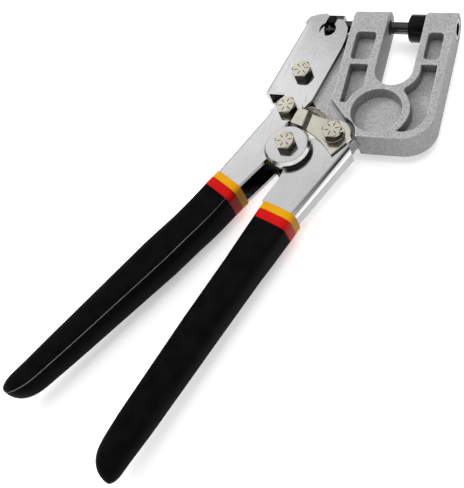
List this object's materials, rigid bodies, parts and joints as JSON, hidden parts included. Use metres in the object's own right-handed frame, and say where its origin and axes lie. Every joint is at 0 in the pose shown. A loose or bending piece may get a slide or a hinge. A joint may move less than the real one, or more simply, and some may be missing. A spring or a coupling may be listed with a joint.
{
  "type": "sheet metal stud crimper",
  "caption": "Hand punch-crimper for sheet-metal studs: C-shaped cast head, lever-driven punch and screwed-in die, two channel handles with dipped grips, swinging lock plate.",
  "frame": {"origin": "bottom centre of the bounding box of the closed, latched tool lying on its back", "axes": "+Y up the arms of the head, along the tool's length, from the grips towards the punch; +Z out of the front face; +X along the punch towards the die"},
  "size_m": [0.2133, 0.3174, 0.0353],
  "materials": {
    "cast_aluminium": "matt bead-blasted casting",
    "chromed_steel": "bright plated sheet",
    "plated_fastener": "yellowish nickel plate",
    "blackened_steel": "black oxide",
    "steel": "bare steel",
    "yellow_vinyl": "glossy",
    "red_vinyl": "glossy",
    "black_vinyl": "matt dipped"
  },
  "bodies": {
    "head": {"head_casting": "cast_aluminium", "die_collar": "blackened_steel", "die_screw": "blackened_steel", "lever_pivot_bolt": "plated_fastener", "lever_pivot_nut": "plated_fastener", "head_pivot_bolt": "plated_fastener", "latch_washer": "plated_fastener", "head_pivot_nut": "plated_fastener"},
    "right_handle": {"right_handle_channel": "chromed_steel", "right_yellow_band": "yellow_vinyl", "right_red_band": "red_vinyl", "right_grip": "black_vinyl"},
    "left_handle": {"left_handle_channel": "chromed_steel", "left_yellow_band": "yellow_vinyl", "left_red_band": "red_vinyl", "left_grip": "black_vinyl", "main_pivot_bolt": "plated_fastener", "main_pivot_disc": "plated_fastener", "main_pivot_washer": "plated_fastener", "main_pivot_nut": "plated_fastener", "main_pivot_bushing": "steel", "link_bolt": "plated_fastener", "link_nut": "plated_fastener", "link_bushing": "steel"},
    "lever": {"lever_channel": "chromed_steel"},
    "punch_set": {"punch": "blackened_steel", "punch_cross_pin": "steel"},
    "latch": {"lock_latch": "plated_fastener"}
  },
  "joints": [
    {"name": "handle_open", "type": "hinge", "parent": "right_handle", "child": "left_handle", "pos_m": [0.02545, 0.05117, 0.0175], "axis": [0, 0, -1], "range_deg": [0, 15]},
    {"name": "right_handle_pivot", "type": "hinge", "parent": "head", "child": "right_handle", "pos_m": [0.05075, 0.06287, 0.0175], "axis": [0, 0, 1], "range_deg": [0, 2.2]},
    {"name": "lever_pivot", "type": "hinge", "parent": "head", "child": "lever", "pos_m": [0.02035, 0.10657, 0.0175], "axis": [0, 0, 1], "range_deg": [0, 13.6]},
    {"name": "punch_slide", "type": "slide", "parent": "head", "child": "punch_set", "axis": [-1, 0, 0], "range_m": [0, 0.0105]},
    {"name": "latch_pivot", "type": "hinge", "parent": "head", "child": "latch", "pos_m": [0.05075, 0.06287, 0.0175], "axis": [0, 0, -1], "range_deg": [0, 35]}
  ],
  "couplings": [
    {"joint": "right_handle_pivot", "follows": "handle_open", "ratio": 0.1297},
    {"joint": "lever_pivot", "follows": "handle_open", "ratio": 0.8882},
    {"joint": "punch_slide", "follows": "handle_open", "m_per_rad": 0.03833},
    {"joint": "latch_pivot", "follows": "handle_open", "ratio": 2.3}
  ]
}
